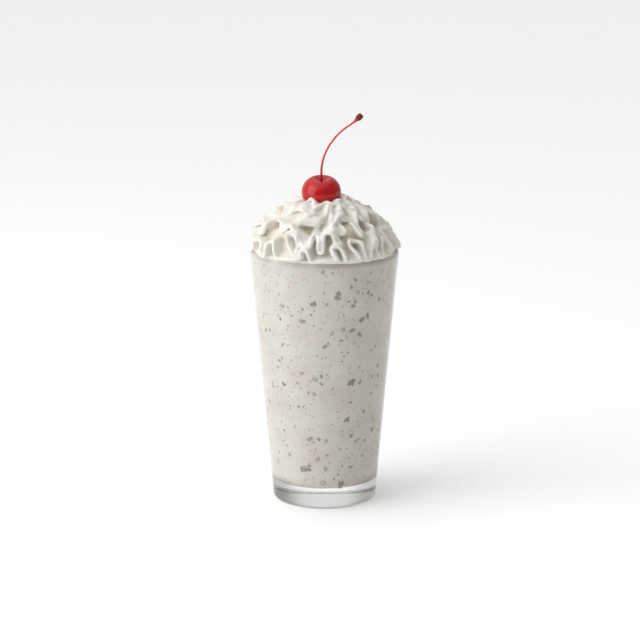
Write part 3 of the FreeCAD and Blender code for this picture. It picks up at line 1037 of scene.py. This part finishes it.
def soft_sky():
    """Soft light from a pale studio: bright behind, above and at the left, and dimmer at the right and in front."""
    world = bpy.data.worlds.new("studio_light")
    world.use_nodes = True
    tree = world.node_tree
    tree.nodes.clear()
    way = add(tree, "ShaderNodeTexCoord").outputs["Generated"]
    side = add(tree, "ShaderNodeVectorMath", {0: way, 1: SKY_BRIGHT_SIDE}, operation="DOT_PRODUCT")
    strength = add(tree, "ShaderNodeMapRange", {
        "Value": side.outputs["Value"], "From Min": -0.25, "From Max": 0.6,
        "To Min": SKY_DIM, "To Max": SKY_BRIGHT},
        interpolation_type="SMOOTHSTEP")
    top = add(tree, "ShaderNodeVectorMath", {0: way, 1: SKY_TOP}, operation="DOT_PRODUCT")
    overhead = add(tree, "ShaderNodeMapRange", {
        "Value": top.outputs["Value"], "From Min": 0.5, "From Max": 0.95, "To Min": 0.0, "To Max": SKY_OVERHEAD},
        interpolation_type="SMOOTHSTEP")
    total = add(tree, "ShaderNodeMath", {0: strength.outputs["Result"], 1: overhead.outputs["Result"]})
    light = add(tree, "ShaderNodeBackground", {"Color": (1, 1, 1, 1), "Strength": total.outputs["Value"]})
    add(tree, "ShaderNodeOutputWorld", {"Surface": light.outputs["Background"]})
    return world


def area_light(name, spot, target, size, power, tint):
    """Square soft light that faces the target."""
    lamp = bpy.data.lights.new(name, "AREA")
    lamp.size = size
    lamp.energy = power
    lamp.color = tint
    made = bpy.data.objects.new(name, lamp)
    made.location = spot
    made.rotation_euler = (Vector(target) - Vector(spot)).to_track_quat("-Z", "Y").to_euler()
    bpy.context.scene.collection.objects.link(made)


class MILKSHAKE_OT_stage(bpy.types.Operator):
    """Make the floor, the lights and the camera"""
    bl_idname = "milkshake.stage"
    bl_label = "Stage"

    def execute(self, context):
        stage = context.scene.shake_stage
        corners = [(x * FLOOR_REACH, y * FLOOR_REACH, 0) for x, y in ((-1, -1), (1, -1), (1, 1), (-1, 1))]
        floor = new_object("floor", corners, [(0, 1, 2, 3)], matt_white_board(stage.floor_colour))
        context.scene.world = soft_sky()
        area_light("key", KEY_PLACE, KEY_TARGET, KEY_SIZE, stage.key_power, KEY_TINT)
        lens = bpy.data.cameras.new("camera")
        lens.lens = CAMERA_LENS
        lens.sensor_width = SENSOR_WIDTH
        camera = bpy.data.objects.new("camera", lens)
        back = Vector((0, -math.cos(CAMERA_ELEVATION), math.sin(CAMERA_ELEVATION)))
        camera.location = CAMERA_TARGET + back * stage.camera_distance
        camera.rotation_euler = (-back).to_track_quat("-Z", "Y").to_euler()
        context.scene.collection.objects.link(camera)
        context.scene.camera = camera
        context.scene.view_settings.view_transform = "Standard"
        return {"FINISHED"}


# ---- Add-on ----

OPERATORS = (
    MILKSHAKE_OT_glass, MILKSHAKE_OT_drink, MILKSHAKE_OT_crumbs, MILKSHAKE_OT_cream,
    MILKSHAKE_OT_cherry, MILKSHAKE_OT_stem, MILKSHAKE_OT_stage,
)


class MILKSHAKE_PT_panel(bpy.types.Panel):
    """Lists the milkshake's pieces and their settings"""
    bl_label = "Milkshake"
    bl_idname = "MILKSHAKE_PT_panel"
    bl_space_type = "VIEW_3D"
    bl_region_type = "UI"
    bl_category = "Milkshake"

    def draw(self, context):
        for name, group in SETTINGS.items():
            box = self.layout.box()
            for entry in group.__annotations__:
                box.prop(getattr(context.scene, name), entry)
        for operator in OPERATORS:
            self.layout.operator(operator.bl_idname)


def register():
    for group in SETTINGS.values():
        bpy.utils.register_class(group)
    for name, group in SETTINGS.items():
        setattr(bpy.types.Scene, name, bpy.props.PointerProperty(type=group))
    for operator in OPERATORS:
        bpy.utils.register_class(operator)
    bpy.utils.register_class(MILKSHAKE_PT_panel)


def unregister():
    bpy.utils.unregister_class(MILKSHAKE_PT_panel)
    for operator in reversed(OPERATORS):
        bpy.utils.unregister_class(operator)
    for name in SETTINGS:
        delattr(bpy.types.Scene, name)
    for group in SETTINGS.values():
        bpy.utils.unregister_class(group)


def main():
    register()
    for operator in OPERATORS:
        group, name = operator.bl_idname.split(".")
        getattr(getattr(bpy.ops, group), name)()


if __name__ == "__main__":
    main()
